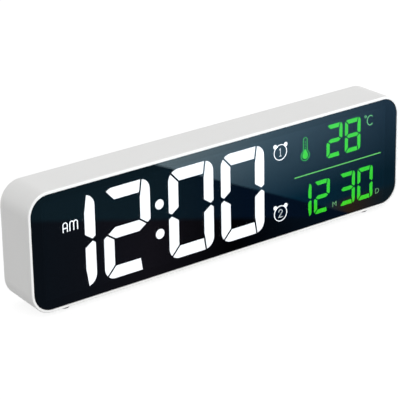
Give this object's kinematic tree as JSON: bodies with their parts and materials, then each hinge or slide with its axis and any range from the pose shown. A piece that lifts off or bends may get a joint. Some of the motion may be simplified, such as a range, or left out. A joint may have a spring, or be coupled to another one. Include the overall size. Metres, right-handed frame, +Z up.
{
  "type": "led desk clock",
  "caption": "Wide free-standing desk clock: white rounded case, smoked front panel with lit digits for time, temperature and date, rear keys, speaker grille and battery door.",
  "frame": {"origin": "middle of the footprint, at the undersides of the feet", "axes": "+X to the right as seen from the front, +Y from the display to the back, +Z up"},
  "size_m": [0.195, 0.0206, 0.0528],
  "materials": {
    "white_abs": "fine satin moulded",
    "smoked_acrylic": "polished, smoked",
    "black_film": "printed film",
    "black_tape": "adhesive foam",
    "black_reflector": "moulded, matt black face",
    "white_light": "lit diffuser",
    "green_light": "lit diffuser",
    "dark_resin": "tinted diffuser, off",
    "white_lamp": "lamp chip",
    "green_lamp": "lamp chip",
    "green_board": "solder mask over glass fibre",
    "black_moulding": "moulded",
    "bright_can": "plated",
    "aluminium_can": "drawn",
    "sensor_bead": "dipped resin",
    "zinc_screw": "zinc plated",
    "nickel_contact": "nickel plated",
    "cell_sleeve": "printed sleeve, plain",
    "foam_gasket": "foam",
    "speaker_steel": "pressed and plated",
    "speaker_paper": "pressed paper",
    "lead_sleeve": "insulated lead",
    "grey_key": "satin moulded",
    "plunger_black": "moulded",
    "foot_rubber": "matt rubber"
  },
  "bodies": {
    "clock": {"case_shell": "white_abs", "rear_cover": "white_abs", "front_lens": "smoked_acrylic", "lens_mask": "black_film", "lens_tape": "black_tape", "reflector_block": "black_reflector", "time_segments": "white_light", "green_segments": "green_light", "dark_segments": "dark_resin", "white_leds": "white_lamp", "green_leds": "green_lamp", "display_board": "green_board", "rear_board": "green_board", "driver_chip": "black_moulding", "clock_chip": "black_moulding", "board_header": "black_moulding", "tact_switches": "black_moulding", "usb_insert": "black_moulding", "quartz_crystal": "bright_can", "usb_shell": "bright_can", "capacitor": "aluminium_can", "temperature_sensor": "sensor_bead", "board_screws": "zinc_screw", "rear_board_screws": "zinc_screw", "cover_screws": "zinc_screw", "contact_negative": "nickel_contact", "contact_left_bridge": "nickel_contact", "contact_right_bridge": "nickel_contact", "contact_positive": "nickel_contact", "battery_cell_1": "cell_sleeve", "battery_cell_2": "cell_sleeve", "battery_cell_3": "cell_sleeve", "speaker_gasket": "foam_gasket", "speaker_frame": "speaker_steel", "speaker_magnet": "speaker_steel", "speaker_cone": "speaker_paper", "speaker_leads": "lead_sleeve", "foot_front_left": "foot_rubber", "foot_front_right": "foot_rubber", "foot_rear_left": "foot_rubber", "foot_rear_right": "foot_rubber"},
    "mode_key": {"mode_key": "grey_key", "mode_plunger": "plunger_black"},
    "set_key": {"set_key": "grey_key", "set_plunger": "plunger_black"},
    "up_key": {"up_key": "grey_key", "up_plunger": "plunger_black"},
    "down_key": {"down_key": "grey_key", "down_plunger": "plunger_black"},
    "alarm_key": {"alarm_key": "grey_key", "alarm_plunger": "plunger_black"},
    "door": {"battery_door": "white_abs"}
  },
  "joints": [
    {"name": "mode_press", "type": "slide", "parent": "clock", "child": "mode_key", "axis": [0, -1, 0], "range_m": [0, 0.0004], "stiffness_N_per_m": 1500},
    {"name": "set_press", "type": "slide", "parent": "clock", "child": "set_key", "axis": [0, -1, 0], "range_m": [0, 0.0004], "stiffness_N_per_m": 1500},
    {"name": "up_press", "type": "slide", "parent": "clock", "child": "up_key", "axis": [0, -1, 0], "range_m": [0, 0.0004], "stiffness_N_per_m": 1500},
    {"name": "down_press", "type": "slide", "parent": "clock", "child": "down_key", "axis": [0, -1, 0], "range_m": [0, 0.0004], "stiffness_N_per_m": 1500},
    {"name": "alarm_press", "type": "slide", "parent": "clock", "child": "alarm_key", "axis": [0, -1, 0], "range_m": [0, 0.0004], "stiffness_N_per_m": 1500},
    {"name": "battery_door_swing", "type": "hinge", "parent": "clock", "child": "door", "pos_m": [-0.02565, 0.01005, 0.0271], "axis": [0, 0, 1], "range_deg": [0, 80]}
  ]
}
